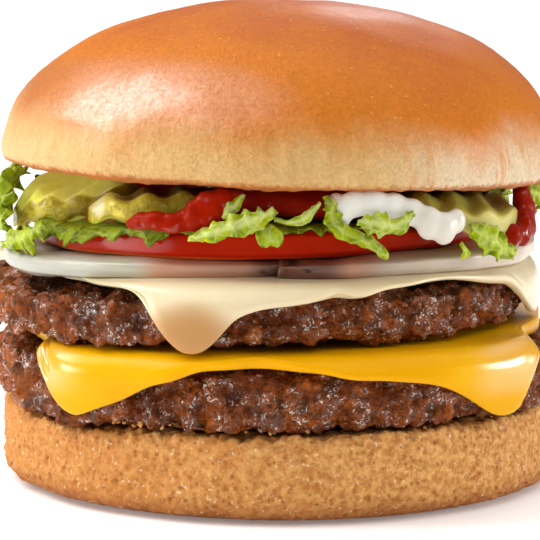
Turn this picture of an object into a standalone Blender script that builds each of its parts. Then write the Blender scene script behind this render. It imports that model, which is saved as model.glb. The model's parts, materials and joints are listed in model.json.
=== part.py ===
"""A double burger: crown, sauce, pickles, lettuce, tomato, onion, two cheeses, two patties and heel.

Sizes are in millimetres, and every finished vertex is turned to metres. An azimuth is in degrees
round the burger's upright axis: 0 is the front (-Y) and 90 is the right (+X).
"""

import math

import bmesh
import bpy
from mathutils import Vector, noise

# Driving dimensions
MM = 0.001
GAP = 0.35  # clearance between two pieces that touch
CHEESE_GAP = 0.5  # clearance under a slice of cheese, whose mesh is coarser than the patty's
BUN_RADIUS = 54.2
HEEL_HEIGHT = 16.2
CROWN_EDGE_HEIGHT = 59.0  # cut face of the crown above the table, at the burger's middle
CROWN_TOP_HEIGHT = 91.3
CROWN_RADIUS = 53.3
CROWN_SHIFT = -1.0  # the crown sits a little to the left
CROWN_ROLL = -0.036  # rise of its cut face for each millimetre to the right
PATTY_LOW_RADIUS = 55.6
PATTY_TOP_RADIUS = 52.3
PATTY_TOP_SHIFT = -5.8
PATTY_LOW_HEIGHT = 12.2
PATTY_TOP_HEIGHT = 10.2
SLICE_THICKNESS = 2.1  # one slice of cheese
CHEESE_BEND = 3.6  # radius of a slice's bend over the patty's rim
TOMATO_RADIUS = 42.5
TOMATO_CENTRE = (-4.2, -4.0)
PICKLE_THICKNESS = 4.2
PICKLE_WAVE = 0.55  # half height of the crinkle cut
CRINKLE_LENGTH = 5.4  # from one crinkle to the next
LEAF_THICKNESS = 0.7

# Azimuth centre, width and amount of each swelling or sag of an edge
HEEL_RIM_SAGS = ((-52, 22, 2.0), (-8, 26, 0.8), (140, 40, 0.9))
PATTY_LOW_RIM_SAGS = ((-55, 38, 1.3), (8, 14, 0.4), (-150, 40, 0.9))
PATTY_TOP_RIM_SAGS = ((-62, 32, 2.0), (8, 14, 0.4), (60, 30, 0.5), (-150, 40, 0.9))
PATTY_LOW_SWELLS = ((-88, 24, 1.2), (-30, 12, -0.9), (20, 10, 0.6), (75, 30, 0.8), (170, 30, -1.2))
PATTY_TOP_SWELLS = (
    (-75, 22, 0.9), (2, 45, 1.5), (50, 20, 1.5), (-8, 12, -0.6), (120, 22, -1.4), (-160, 25, 0.8),
)
TOMATO_SWELLS = ((-70, 30, 0.6), (30, 25, -0.7), (150, 40, 0.9))
TOMATO_TOP_SWELLS = ((-72, 34, -2.2), (2, 28, 0.8), (150, 50, 0.5))

# How far each slice of cheese reaches past the start of its bend, by azimuth
YELLOW_EDGE = (
    (-70, -5.0), (-60, -4.0), (-55, -0.5), (-50.5, 7.6), (-45.5, 12.2), (-41, 13.2), (-35, 11.0),
    (-24.5, 6.6), (-15, 3.0), (-5, 1.2), (3, 3.0), (13, 5.3), (28, 6.8), (34, 10.0), (39.5, 13.8),
    (44, 14.9),
    (48, 13.2), (52, 5.6), (56.5, -2.0), (63, -5.0), (85, -5.0), (110, -2.0), (128, 5.5), (138, 12.5),
    (149, 6.0), (168, 1.0), (195, 2.0), (210, 6.5), (220, 11.0), (231, 5.0), (255, -2.0),
)
WHITE_EDGE = (
    (-88, -4.0), (-60, -7.0), (-44, -4.0), (-36, 0.5), (-31, 2.6), (-26, 3.6), (-20.6, 7.6),
    (-16.2, 13.0), (-12.2, 14.3), (-7.6, 13.2), (-1.5, 7.8), (4, 5.4), (11, 4.2), (16.5, 2.4),
    (21.5, 4.8), (27.5, 4.0), (36, 2.6), (54, 3.0), (61, 4.2), (68, 9.6), (76, 12.0), (84, 11.6),
    (92, 9.8), (101, 6.0), (114, 0.5), (130, -1.5), (148, 4.0), (160, 12.5), (172, 5.0), (195, -1.0),
    (225, -1.0), (240, 5.0), (250, 11.5), (260, 5.0),
)

# Pickle chips: centre, radius, lift above the leaf, fall past the tomato, turn of the crinkles
PICKLES = (
    ((-38.4, -7.4), 13.0, 0.0, 4.6, 25),
    ((-23.3, -28.8), 12.8, 0.4, 2.0, 72),
    ((28.8, -25.4), 14.2, 0.0, 2.4, -40),
    ((23.5, 30.0), 14.2, 0.0, 2.0, 30),
    ((-23.5, 28.5), 13.6, 0.4, 2.0, -20),
)


def lobe(azimuth, centre, width):
    """A smooth hump of height 1 round a centre azimuth."""
    away = (azimuth - centre + 180.0) % 360.0 - 180.0
    return math.exp(-((away / width) ** 2))


def lobes(azimuth, table):
    return sum(amount * lobe(azimuth, centre, width) for centre, width, amount in table)


def ease(low, high, value):
    """0 below low, 1 above high, and a smooth rise between."""
    share = min(1.0, max(0.0, (value - low) / (high - low)))
    return share * share * (3.0 - 2.0 * share)


def spot(azimuth, radius, height=0.0):
    """The point at an azimuth and radius from the burger's axis."""
    turn = math.radians(azimuth)
    return Vector((radius * math.sin(turn), -radius * math.cos(turn), height))


def azimuth_of(x, y):
    return math.degrees(math.atan2(x, -y))


def ripple(x, y, seed, scale=0.045):
    """A slow unevenness of a food layer, about -1 to 1."""
    return noise.noise(Vector((x * scale, y * scale, seed)))


def from_tomato(x, y):
    """Distance from the tomato's own axis."""
    return math.hypot(x - TOMATO_CENTRE[0], y - TOMATO_CENTRE[1])


def edge_at(azimuth, stations):
    """The value at an azimuth, eased between stations that go once round."""
    turned = (azimuth - stations[0][0]) % 360.0 + stations[0][0]
    ring = [*stations, (stations[0][0] + 360.0, stations[0][1])]
    for (first, before), (second, after) in zip(ring, ring[1:]):
        if turned <= second:
            return before + (after - before) * ease(first, second, turned)
    return ring[-1][1]


# Heights of the faces where layers meet, at a place x, y


def rim_fall(x, y, sags, inner, outer, fall):
    """How far a layer's top falls towards its rim."""
    share = ease(inner, outer, math.hypot(x, y))
    return share * (fall + lobes(azimuth_of(x, y), sags))


def heel_top(x, y):
    return HEEL_HEIGHT + 0.35 * ripple(x, y, 1.0) - rim_fall(x, y, HEEL_RIM_SAGS, 38, 55, 0.0)


def patty_low_top(x, y):
    height = HEEL_HEIGHT + PATTY_LOW_HEIGHT + 0.4 * ripple(x, y, 2.0)
    return height - rim_fall(x, y, PATTY_LOW_RIM_SAGS, 36, 56, 0.0)


def patty_top_bottom(x, y):
    return patty_low_top(x, y) + SLICE_THICKNESS + 2 * GAP


def patty_top_top(x, y):
    height = HEEL_HEIGHT + PATTY_LOW_HEIGHT + SLICE_THICKNESS + 2 * GAP + PATTY_TOP_HEIGHT
    return height + 0.3 * ripple(x, y, 3.0) - rim_fall(x, y, PATTY_TOP_RIM_SAGS, 32, 54, 0.7)


def onion_bottom(x, y):
    return patty_top_top(x, y) + SLICE_THICKNESS + 2 * GAP


def tomato_bottom(x, y):
    away = from_tomato(x, y)
    return 47.5 + 0.012 * x + 0.2 * ripple(x, y, 4.0) - 0.9 * ease(14, 43, away)


def tomato_top(x, y):
    away = from_tomato(x, y)
    rim = ease(20, 43, away)
    swell = lobes(azimuth_of(x - TOMATO_CENTRE[0], y - TOMATO_CENTRE[1]), TOMATO_TOP_SWELLS)
    return 51.2 - 0.01 * x + rim * (swell - 0.4) + 0.2 * ripple(x, y, 5.0)


def leaf_middle(x, y):
    """The lettuce leaf lies on the tomato, then falls past its rim in ruffles."""
    past = ease(42.9, 47.0, from_tomato(x, y))
    ruffle = math.sin(math.radians(11 * azimuth_of(x, y) + 20))
    return tomato_top(x, y) + GAP + LEAF_THICKNESS / 2 - past * (3.9 + 0.9 * ruffle)


def chip_middle(x, y, lift, fall):
    """A pickle chip lies on the leaf and bends a little where it reaches past the tomato."""
    rest = tomato_top(x, y) + LEAF_THICKNESS + 2 * GAP + PICKLE_WAVE + PICKLE_THICKNESS / 2
    return rest + lift - fall * ease(42.6, 50, from_tomato(x, y))


def crown_bottom(x, y):
    return CROWN_EDGE_HEIGHT + CROWN_ROLL * x


def front_dense(azimuth):
    """Moves evenly spaced azimuths closer together at the front, where the edges show most."""
    turn = math.radians(azimuth)
    return math.degrees(turn - 0.32 * math.sin(turn))


# Mesh helpers


def material(name, red, green, blue, roughness):
    """A matt or glossy food colour, given as it looks on a screen, 0 to 255."""
    made = bpy.data.materials.new(name)
    made.use_nodes = True
    shader = made.node_tree.nodes["Principled BSDF"]
    linear = [(part / 255.0) ** 2.2 for part in (red, green, blue)]
    shader.inputs["Base Color"].default_value = (*linear, 1.0)
    shader.inputs["Roughness"].default_value = roughness
    shader.inputs["Metallic"].default_value = 0.0
    return made


def finish(name, shape, look):
    """Turns a bmesh in millimetres into a named object in metres."""
    bmesh.ops.recalc_face_normals(shape, faces=shape.faces)
    bmesh.ops.scale(shape, vec=(MM, MM, MM), verts=shape.verts)
    mesh = bpy.data.meshes.new(name)
    shape.to_mesh(mesh)
    shape.free()
    mesh.materials.append(look)
    mesh.shade_smooth()
    mesh.set_sharp_from_angle(angle=math.radians(50))
    made = bpy.data.objects.new(name, mesh)
    bpy.context.scene.collection.objects.link(made)
    return made


def split_alike(shape):
    """Splits the quads so that the upper and lower face of a thin sheet fold along the same lines."""
    for face in [face for face in shape.faces if len(face.verts) == 4]:
        places = []
        for vertex in face.verts:
            azimuth = azimuth_of(vertex.co.x, vertex.co.y)
            places.append((math.hypot(vertex.co.x, vertex.co.y), azimuth, vertex))
        first = places[0][1]
        spread = [(share, (turn - first + 180.0) % 360.0, vertex) for share, turn, vertex in places]
        inner = min(spread, key=lambda place: round(place[0], 5) * 1000.0 + place[1])[2]
        corner = list(face.verts).index(inner)
        bmesh.utils.face_split(face, inner, face.verts[(corner + 2) % 4])


def spun(name, profile, sectors, place, look):
    """Spins a profile of (share of the radius, level) round the axis, then places each vertex.

    A level is 1 on the upper face and -1 on the lower one. place(share, azimuth, level) gives the
    point in millimetres.
    """
    shape = bmesh.new()
    chain = [shape.verts.new((share, 0.0, level)) for share, level in profile]
    edges = [shape.edges.new(pair) for pair in zip(chain, chain[1:])]
    bmesh.ops.spin(
        shape, geom=chain + edges, cent=(0, 0, 0), axis=(0, 0, 1),
        angle=math.tau, steps=sectors, use_merge=True,
    )
    bmesh.ops.remove_doubles(shape, verts=shape.verts, dist=1e-5)
    split_alike(shape)
    for vertex in shape.verts:
        share = math.hypot(vertex.co.x, vertex.co.y)
        azimuth = azimuth_of(vertex.co.x, vertex.co.y)
        vertex.co = place(share, azimuth, vertex.co.z)
    return finish(name, shape, look)


def slab(outline, low, high, centre=(0.0, 0.0), crags=None, dense=False):
    """A place() for a layer between two height fields, with an outline round a centre."""

    def place(share, azimuth, level):
        if dense:
            azimuth = front_dense(azimuth)
        side = ease(0.9, 1.0, share)
        radius = share * outline(azimuth)
        if crags:
            radius -= side * crags(azimuth, level)
        at = spot(azimuth, radius)
        x = at.x + centre[0]
        y = at.y + centre[1]
        bottom = low(x, y)
        return Vector((x, y, bottom + (level + 1.0) / 2.0 * (high(x, y) - bottom)))

    return place


def flat_disc(*rings):
    """A slab's profile through (share, level) rings of its upper half, mirrored below."""
    upper = [(0.0, 1.0), *rings]
    return upper + [(share, -level) for share, level in reversed(upper)]


# Bread


def make_heel(look):
    """The lower half of the bun: a low drum with a rounded foot and a flat cut face."""
    foot_height = 8.2  # the foot's rounding
    foot_depth = 7.0
    profile = [(0.0, 1.0), (0.55, 1.0), (0.86, 1.0), (0.975, 1.0), (0.995, 0.75), (1.0, 0.1)]
    for step in range(1, 5):
        turn = math.radians(90.0 * step / 4)
        inward = foot_depth / BUN_RADIUS * (1.0 - math.cos(turn))
        rise = foot_height / HEEL_HEIGHT * (1.0 - math.sin(turn))
        profile.append((1.0 - inward, 2.0 * rise - 1.0))
    profile += [(0.5, -1.0), (0.0, -1.0)]

    def outline(azimuth):
        return BUN_RADIUS + 0.3 * math.sin(math.radians(3 * azimuth + 40)) - 0.1

    return spun("heel", profile, 46, slab(outline, lambda x, y: 0.0, heel_top), look)


def make_crown(look):
    """The upper half of the bun: a domed cap with a flat toasted underside."""
    waist_height = 3.0
    profile = [(0.0, 1.0)]
    for share in (0.22, 0.42, 0.6, 0.75, 0.87, 0.945, 0.985):
        profile.append((share, (1.0 - share**2.27) ** 0.5))
    profile += [(1.0, 0.0), (0.985, -0.6), (0.94, -1.0), (0.5, -1.0), (0.0, -1.0)]

    def place(share, azimuth, level):
        turn = math.radians(azimuth)
        uneven = 0.4 * math.sin(2 * turn + 0.6) + 0.25 * math.sin(5 * turn)
        at = spot(azimuth, share * (CROWN_RADIUS + uneven))
        at.x += CROWN_SHIFT
        base = crown_bottom(at.x, at.y)
        waist = base + waist_height
        if level >= 0.0:
            at.z = waist + level * (CROWN_TOP_HEIGHT - waist + 0.5 * ripple(at.x, at.y, 9.0, 0.03))
        else:
            at.z = waist + (base - waist) * (1.0 - (1.0 + level) ** 1.5)
        return at

    return spun("crown", profile, 46, place, look)


# Meat


def patty_crags(seed):
    """Depth of the crags in a patty's side, all inwards, so that the cheese clears them."""

    def crags(azimuth, level):
        at = spot(azimuth, 7.0, level * 1.6 + seed)
        coarse = noise.noise(at * 0.9)
        fine = noise.noise(at * 2.3)
        return max(0.0, 0.8 + 1.2 * coarse + 0.8 * fine)

    return crags


def make_patty(name, radius, shift, swells, low, high, seed, look):
    profile = flat_disc((0.6, 1.0), (0.93, 1.0), (0.985, 0.86), (1.0, 0.45))

    def outline(azimuth):
        return radius + lobes(azimuth, swells)

    def bottom(x, y):
        return low(x, y) + GAP

    place = slab(outline, bottom, high, (shift, 0.0), patty_crags(seed), True)
    return spun(name, profile, 60, place, look)


# Cheese


def cheese_place(rim, shift, top, stations):
    """A melted slice: flat on the patty, bent over its rim, then hanging down its side.

    rim(azimuth) is the patty's radius, and the stations say how far the slice reaches past the
    start of the bend.
    """
    half = SLICE_THICKNESS / 2.0
    quarter = CHEESE_BEND * math.pi / 2.0
    flat_share = 0.6  # the rings beyond this one follow the bend and the hanging edge

    def place(share, azimuth, level):
        azimuth = front_dense(azimuth)
        start = rim(azimuth) + GAP + half - CHEESE_BEND
        reach = edge_at(azimuth, stations)
        tail = max(1.5, reach + 1.0)
        flat = start + reach - tail
        if share <= flat_share:
            along = flat * share / flat_share
        else:
            along = flat + tail * (share - flat_share) / (1.0 - flat_share)
        direction = spot(azimuth, 1.0)
        edge = direction * min(along, start)
        height = top(edge.x + shift, edge.y) + CHEESE_GAP + half
        past = max(0.0, along - start)
        turn = min(past, quarter) / CHEESE_BEND
        radius = min(along, start) + CHEESE_BEND * math.sin(turn)
        drop = CHEESE_BEND * (1.0 - math.cos(turn)) + max(0.0, past - quarter)
        thin = half * (1.0 - 0.2 * ease(0, 14, past))
        at = direction * (radius + level * thin * math.sin(turn))
        at.x += shift
        at.z = height - drop + level * thin * math.cos(turn)
        return at

    return place


def make_cheese(name, patty_radius, shift, swells, top, stations, look):
    rings = [(share, 1.0) for share in (0.38, 0.6, 0.66, 0.72, 0.78, 0.86, 0.95)]
    rings.append((1.0, 0.5))

    def rim(azimuth):
        return patty_radius + lobes(azimuth, swells)

    place = cheese_place(rim, shift, top, stations)
    return spun(name, flat_disc(*rings), 54, place, look)


# Onion, tomato and pickles


def make_onion(name, centre, radius, side, look):
    """A half moon of onion: a slice cut straight across, with its round edge outwards."""

    def place(share, azimuth, level):
        at = spot(azimuth, share * radius)
        x = at.x + centre[0]
        y = at.y + centre[1]
        x = max(x, 3.2 + 0.05 * y) if side > 0 else min(x, 0.02 * y - 0.8)
        bottom = onion_bottom(x, y) + GAP
        top = tomato_bottom(x, y) - GAP
        return Vector((x, y, bottom + (level + 1.0) / 2.0 * (min(top, bottom + 3.3) - bottom)))

    return spun(name, flat_disc((0.6, 1.0), (0.96, 1.0), (1.0, 0.4)), 34, place, look)


def make_tomato(look):
    def outline(azimuth):
        return TOMATO_RADIUS + lobes(azimuth, TOMATO_SWELLS)

    place = slab(outline, tomato_bottom, tomato_top, TOMATO_CENTRE)
    return spun("tomato", flat_disc((0.54, 1.0), (0.97, 1.0), (0.998, 0.6)), 48, place, look)


def chip_place(centre, radius, lift, fall, turn):
    """A crinkle-cut chip: both faces ripple together, so its edge shows scallops."""
    half = PICKLE_THICKNESS / 2.0
    across = spot(turn, 1.0)

    def place(share, azimuth, level):
        swell = 0.25 * math.sin(math.radians(3 * azimuth))
        at = spot(azimuth, share * (radius + swell))
        phase = math.tau * (at.x * across.x + at.y * across.y) / CRINKLE_LENGTH
        x = at.x + centre[0]
        y = at.y + centre[1]
        crinkle = PICKLE_WAVE * math.sin(phase + turn)
        return Vector((x, y, chip_middle(x, y, lift, fall) + crinkle + level * half))

    return place


def make_pickle(name, chip, look):
    profile = flat_disc((0.35, 1.0), (0.68, 1.0), (0.97, 0.95))
    return spun(name, profile, 20, chip_place(*chip), look)


def pickle_room(chip):
    """The upright room that a chip needs, as a cutter for the sauce."""
    (x, y), radius, *_ = chip
    room_height = 24.0
    bpy.ops.mesh.primitive_cylinder_add(
        vertices=24, radius=(radius + 2 * GAP) * MM, depth=room_height * MM,
        location=(x * MM, y * MM, CROWN_EDGE_HEIGHT * MM),
    )
    room = bpy.context.object
    room.name = "cut_pickle"
    room.hide_render = True
    room.display_type = "WIRE"
    return room


def cut_away(piece, cutters):
    for number, cutter in enumerate(cutters):
        cut = piece.modifiers.new(f"room_{number}", "BOOLEAN")
        cut.operation = "DIFFERENCE"
        cut.solver = "EXACT"
        cut.object = cutter


# Sauces


def make_ketchup(cutters, look):
    """The spread of ketchup under the crown, between the pickle chips."""
    profile = flat_disc((0.6, 1.0), (0.94, 1.0), (0.995, 0.4))

    def outline(azimuth):
        reach = 38.0 + 6.0 * lobe(azimuth, 0, 26) - 6.0 * lobe(azimuth, -58, 22)
        return reach + 1.5 * math.sin(math.radians(5 * azimuth + 20))

    def low(x, y):
        return leaf_middle(x, y) + LEAF_THICKNESS / 2 + GAP

    def high(x, y):
        return crown_bottom(x, y) - GAP

    sauce = spun("ketchup", profile, 30, slab(outline, low, high), look)
    cut_away(sauce, cutters)
    return sauce


def smooth_path(stations, count):
    """Evenly shared points on a Catmull-Rom curve through stations of any length."""
    padded = [stations[0], *stations, stations[-1]]
    made = []
    for number in range(count):
        position = number / (count - 1) * (len(stations) - 1)
        index = min(int(position), len(stations) - 2)
        t = position - index
        group = padded[index : index + 4]
        made.append([
            b + 0.5 * t * (c - a + t * (2 * a - 5 * b + 4 * c - d + t * (3 * b - a - 3 * c + d)))
            for a, b, c, d in zip(*group)
        ])
    return made


def frames_along(path):
    """Centre, direction of travel and outward direction at each (azimuth, radius, height, ...)."""
    centres = [spot(*station[:3]) for station in path]
    for number, centre in enumerate(centres):
        before = centres[max(0, number - 1)]
        after = centres[min(len(centres) - 1, number + 1)]
        yield centre, (after - before).normalized(), spot(path[number][0], 1.0)


def skinned(name, rows, look):
    """Joins rings of points into a closed body, with a fan at each end."""
    shape = bmesh.new()
    rings = [[shape.verts.new(point) for point in row] for row in rows]
    for first, second in zip(rings, rings[1:]):
        ring = len(first)
        for corner in range(ring):
            following = (corner + 1) % ring
            mirrored = corner >= ring // 2
            quad = (first[corner], first[following], second[following], second[corner])
            halves = ((0, 1, 2), (0, 2, 3)) if not mirrored else ((0, 1, 3), (1, 2, 3))
            for half in halves:
                shape.faces.new([quad[number] for number in half])
    for ring in (rings[0], rings[-1]):
        hub = sum((vertex.co for vertex in ring), Vector()) / len(ring)
        middle = shape.verts.new(hub)
        for corner, vertex in enumerate(ring):
            shape.faces.new((vertex, ring[(corner + 1) % len(ring)], middle))
    return finish(name, shape, look)


def make_bead(name, stations, look, count=14, sides=8):
    """A thick run of sauce. Each station is azimuth, radius, height, half height and half depth."""
    path = smooth_path(stations, count)
    rows = []
    for number, (centre, travel, outward) in enumerate(frames_along(path)):
        half_height, half_depth = path[number][3:]
        up = outward.cross(travel).normalized()
        round_end = math.sin(math.pi * (0.16 + 0.68 * number / (count - 1))) ** 0.5
        row = []
        for side in range(sides):
            turn = math.tau * side / sides
            out = outward * (half_depth * round_end * math.cos(turn))
            row.append(centre + out + up * (half_height * round_end * math.sin(turn)))
        rows.append(row)
    return skinned(name, rows, look)


# Lettuce


def make_leaf(look):
    """The lettuce leaf that lies on the tomato and ruffles out past its edge."""
    half = LEAF_THICKNESS / 2.0
    flat_share = 0.9  # the part that lies flat ends here, just inside the tomato's rim
    flat_reach = 0.97 * TOMATO_RADIUS

    def place(share, azimuth, level):
        azimuth = front_dense(azimuth)
        reach = 43.5 + 1.3 * lobe(azimuth, -52, 30) + 1.2 * lobe(azimuth, 62, 14)
        reach += 3.0 * lobe(azimuth, -160, 55) + 0.7 * math.sin(math.radians(9 * azimuth))
        if share <= flat_share:
            radius = flat_reach * share / flat_share
        else:
            radius = flat_reach + (reach - flat_reach) * (share - flat_share) / (1.0 - flat_share)
        at = spot(azimuth, radius)
        x = at.x + TOMATO_CENTRE[0]
        y = at.y + TOMATO_CENTRE[1]
        return Vector((x, y, leaf_middle(x, y) + level * half))

    rings = ((0.5, 1.0), (flat_share, 1.0), (0.96, 1.0), (1.0, 1.0))
    return spun("lettuce_leaf", flat_disc(*rings), 56, place, look)


def make_shred(name, stations, ruffle, look, count=10):
    """A shred of lettuce: a thin ruffled ribbon.

    Each station is azimuth, radius, height, half width and lean, where a lean of 0 faces outwards
    and 90 faces up.
    """
    path = smooth_path(stations, count)
    rows = []
    for number, (centre, travel, outward) in enumerate(frames_along(path)):
        half_width, lean = path[number][3:]
        tilt = math.radians(lean)
        face = outward * math.cos(tilt) + Vector((0, 0, 1)) * math.sin(tilt)
        across = travel.cross(face).normalized()
        face = across.cross(travel).normalized()
        half_width *= 1.0 + 0.2 * math.sin(number * 2.1)
        front = []
        back = []
        for side in (-1.0, 0.0, 1.0):
            wave = ruffle * side * math.sin(number * 1.35 + side * 0.6)
            middle = centre + across * (side * half_width) + face * wave
            front.append(middle + face * (LEAF_THICKNESS / 2))
            back.append(middle - face * (LEAF_THICKNESS / 2))
        rows.append(front + back[::-1])
    return skinned(name, rows, look)


# Ruffle, then azimuth, radius, height, half width and lean at each station of a shred
SHREDS = (
    (0.5, (
        (-84, 50, 58.6, 2.0, 20), (-80, 53, 57.2, 4.0, 10), (-76, 55, 54.4, 5.2, 5),
        (-72, 55.8, 51.4, 4.2, 0), (-70, 55.6, 49.4, 2.0, 0),
    )),
    (0.5, (
        (-57, 52.6, 50.6, 1.6, 20), (-60, 54, 48.9, 3.0, 10), (-66, 54.8, 47.2, 2.2, 5),
        (-74, 55.2, 45.6, 1.0, 0),
    )),
    (0.3, (
        (-19, 52.4, 50.6, 0.9, 0), (-14.5, 53, 51.7, 1.5, 5), (-9.5, 53.2, 53.3, 1.9, 10),
        (-5, 52.8, 54.7, 1.8, 15), (-2, 51.6, 55.6, 0.9, 20),
    )),
    (0.15, (
        (-8.6, 50.2, 58.3, 0.5, 0), (-9.6, 51.0, 57.0, 0.7, 0), (-11.0, 51.6, 55.6, 1.1, 0),
        (-12.4, 51.8, 54.3, 0.5, 0),
    )),
    (0.3, (
        (-5.6, 50.2, 53.0, 1.6, 10), (-4, 50.9, 51.9, 2.4, 5), (-2.2, 51.2, 50.4, 1.6, 0),
        (-1.6, 51.2, 49.4, 0.6, 0),
    )),
    (0.1, (
        (-2.4, 50.0, 53.9, 0.5, 0), (0.6, 51.0, 53.6, 0.5, 0), (3.2, 51.6, 54.2, 0.8, 0),
        (5.0, 51.4, 55.7, 0.6, 0), (6.6, 50.8, 57.0, 0.4, 0),
    )),
    (0.3, (
        (7.9, 49.6, 58.0, 0.8, 0), (8.8, 50.6, 56.2, 1.4, 0), (9.2, 51.2, 54.2, 1.5, 0),
        (10.4, 52.2, 52.3, 1.2, 5), (13.8, 52.8, 50.8, 1.1, 10), (17, 53.0, 49.5, 1.3, 5),
        (19.4, 53.0, 47.2, 0.8, 0),
    )),
    (0.3, (
        (13.2, 54.0, 53.8, 1.1, 20), (16.2, 54.6, 53.5, 2.1, 15), (19.6, 54.6, 53.0, 1.9, 15),
        (22.4, 54.2, 53.8, 1.2, 10), (24.4, 53.8, 55.0, 0.9, 0),
    )),
    (0.2, ((33.6, 55.6, 49.4, 0.6, 0), (34.2, 55.7, 48.2, 0.6, 0), (34.8, 55.6, 46.8, 1.1, 0))),
    (0.4, (
        (38.4, 53.0, 51.4, 1.8, 10), (41.6, 53.6, 49.8, 2.3, 10), (45, 54.2, 47.8, 2.4, 5),
        (49, 54.6, 46.4, 1.6, 5),
    )),
    (0.5, (
        (70, 50, 55.4, 1.6, 20), (74, 52, 54.6, 3.2, 10), (79, 53, 52.4, 3.2, 5),
        (83, 53.2, 50.4, 1.4, 0),
    )),
    (0.5, (
        (108, 46, 54.6, 2.0, 20), (116, 49, 53.4, 3.2, 10), (126, 50, 51.2, 2.6, 5),
        (132, 50, 50, 1.2, 0),
    )),
    (0.5, ((172, 44, 55.0, 2.0, 20), (181, 47.5, 53.0, 3.0, 10), (190, 48.5, 51, 1.8, 5))),
)

# Azimuth, radius, height, half height and half depth at each station of a run of sauce
KETCHUP_FRONT = (
    (-38, 51.0, 51.5, 0.6, 0.8), (-34.5, 51.5, 52.2, 1.6, 1.3), (-30, 51.7, 51.9, 1.7, 1.4),
    (-25.5, 51.6, 52.4, 1.4, 1.3), (-22, 51.2, 53.2, 1.6, 1.3), (-18, 50.6, 54.6, 3.0, 1.5),
    (-14, 50.0, 55.4, 2.9, 1.4), (-10.5, 49.0, 56.6, 1.5, 1.1),
)
KETCHUP_RIGHT = (
    (49, 51.8, 48.1, 1.1, 1.0), (53, 52.2, 47.9, 1.4, 1.2), (57.5, 53.0, 48.9, 2.2, 1.3),
    (61, 52.6, 50.6, 2.6, 1.3), (64, 51.8, 52.8, 2.2, 1.2), (66, 50.8, 54.8, 1.4, 1.0),
)
MAYONNAISE = (
    (9.8, 48.3, 57.0, 1.1, 0.8), (12.5, 49.4, 56.1, 2.4, 1.2), (17, 50.2, 55.8, 2.4, 1.4),
    (22, 50.6, 55.4, 2.5, 1.5), (26, 52.0, 53.9, 2.6, 1.6), (30, 52.9, 51.9, 3.1, 1.6),
    (33.5, 52.9, 51.4, 2.6, 1.5), (36.5, 52.4, 51.7, 1.4, 1.1),
)


def main():
    for old in list(bpy.data.objects):
        bpy.data.objects.remove(old)

    bread = material("toasted_bread", 214, 150, 82, 0.6)
    crust = material("bun_crust", 214, 132, 58, 0.35)
    meat = material("grilled_beef", 104, 56, 32, 0.4)
    yellow = material("yellow_cheese", 240, 180, 10, 0.3)
    white = material("white_cheese", 228, 210, 172, 0.3)
    onion = material("raw_onion", 222, 216, 202, 0.25)
    tomato = material("tomato", 162, 34, 20, 0.2)
    pickle = material("pickle", 150, 134, 50, 0.3)
    green = material("lettuce", 160, 176, 50, 0.4)
    red = material("ketchup", 156, 28, 16, 0.15)
    cream = material("mayonnaise", 222, 214, 198, 0.2)

    make_heel(bread)
    low_rim = (PATTY_LOW_RADIUS, 0.0, PATTY_LOW_SWELLS)
    top_rim = (PATTY_TOP_RADIUS, PATTY_TOP_SHIFT, PATTY_TOP_SWELLS)
    make_patty("patty_bottom", *low_rim, heel_top, patty_low_top, 3.0, meat)
    make_cheese("cheese_yellow", *low_rim, patty_low_top, YELLOW_EDGE, yellow)
    make_patty("patty_top", *top_rim, patty_top_bottom, patty_top_top, 11.0, meat)
    make_cheese("cheese_white", *top_rim, patty_top_top, WHITE_EDGE, white)
    make_onion("onion_left", (-9.0, -2.0), 45.0, -1, onion)
    make_onion("onion_right", (2.5, -2.5), 45.5, 1, onion)
    make_tomato(tomato)
    make_leaf(green)
    for index, chip in enumerate(PICKLES, 1):
        make_pickle(f"pickle_{index}", chip, pickle)
    rooms = [pickle_room(chip) for chip in PICKLES]
    make_ketchup(rooms, red)
    make_bead("ketchup_front", KETCHUP_FRONT, red, count=17)
    make_bead("ketchup_right", KETCHUP_RIGHT, red, count=10)
    make_bead("mayonnaise", MAYONNAISE, cream, count=15, sides=10)
    for index, (ruffle, stations) in enumerate(SHREDS, 1):
        make_shred(f"lettuce_shred_{index}", stations, ruffle, green)
    make_crown(crust)


main()
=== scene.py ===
# %% [markdown]
# # A double burger, dressed over its solids
#
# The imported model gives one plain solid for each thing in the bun: two halves of bread, two
# patties, two slices of cheese and the filling between them. They have the right place and form.
# What they lack is surface: the pores of bread, the crags of grilled beef, the wet shine of cheese
# and sauce. This file copies each solid, makes the copy finer, works the relief into it and writes
# a material for it.

# %% Load the solids
import json
import math
import random

import bpy
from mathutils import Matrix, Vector, noise

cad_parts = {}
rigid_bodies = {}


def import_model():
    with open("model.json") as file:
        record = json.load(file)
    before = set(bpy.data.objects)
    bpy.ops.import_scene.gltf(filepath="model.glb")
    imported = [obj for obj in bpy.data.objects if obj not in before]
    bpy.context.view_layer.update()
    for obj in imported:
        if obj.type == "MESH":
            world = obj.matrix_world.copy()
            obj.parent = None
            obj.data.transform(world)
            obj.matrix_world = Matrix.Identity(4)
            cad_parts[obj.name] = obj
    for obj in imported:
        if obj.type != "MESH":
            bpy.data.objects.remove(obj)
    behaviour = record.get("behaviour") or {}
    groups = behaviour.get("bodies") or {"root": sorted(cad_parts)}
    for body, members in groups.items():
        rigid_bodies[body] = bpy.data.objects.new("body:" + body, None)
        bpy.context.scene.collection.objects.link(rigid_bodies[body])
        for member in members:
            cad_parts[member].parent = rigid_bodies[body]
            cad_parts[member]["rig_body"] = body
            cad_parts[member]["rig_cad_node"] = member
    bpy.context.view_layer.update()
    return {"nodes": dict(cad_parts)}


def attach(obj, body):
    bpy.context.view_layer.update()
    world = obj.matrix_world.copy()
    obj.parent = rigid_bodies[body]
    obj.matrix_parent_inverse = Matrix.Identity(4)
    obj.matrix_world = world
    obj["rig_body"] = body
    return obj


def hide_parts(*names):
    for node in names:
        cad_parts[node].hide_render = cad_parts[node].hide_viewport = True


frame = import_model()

MM = 0.001

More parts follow.
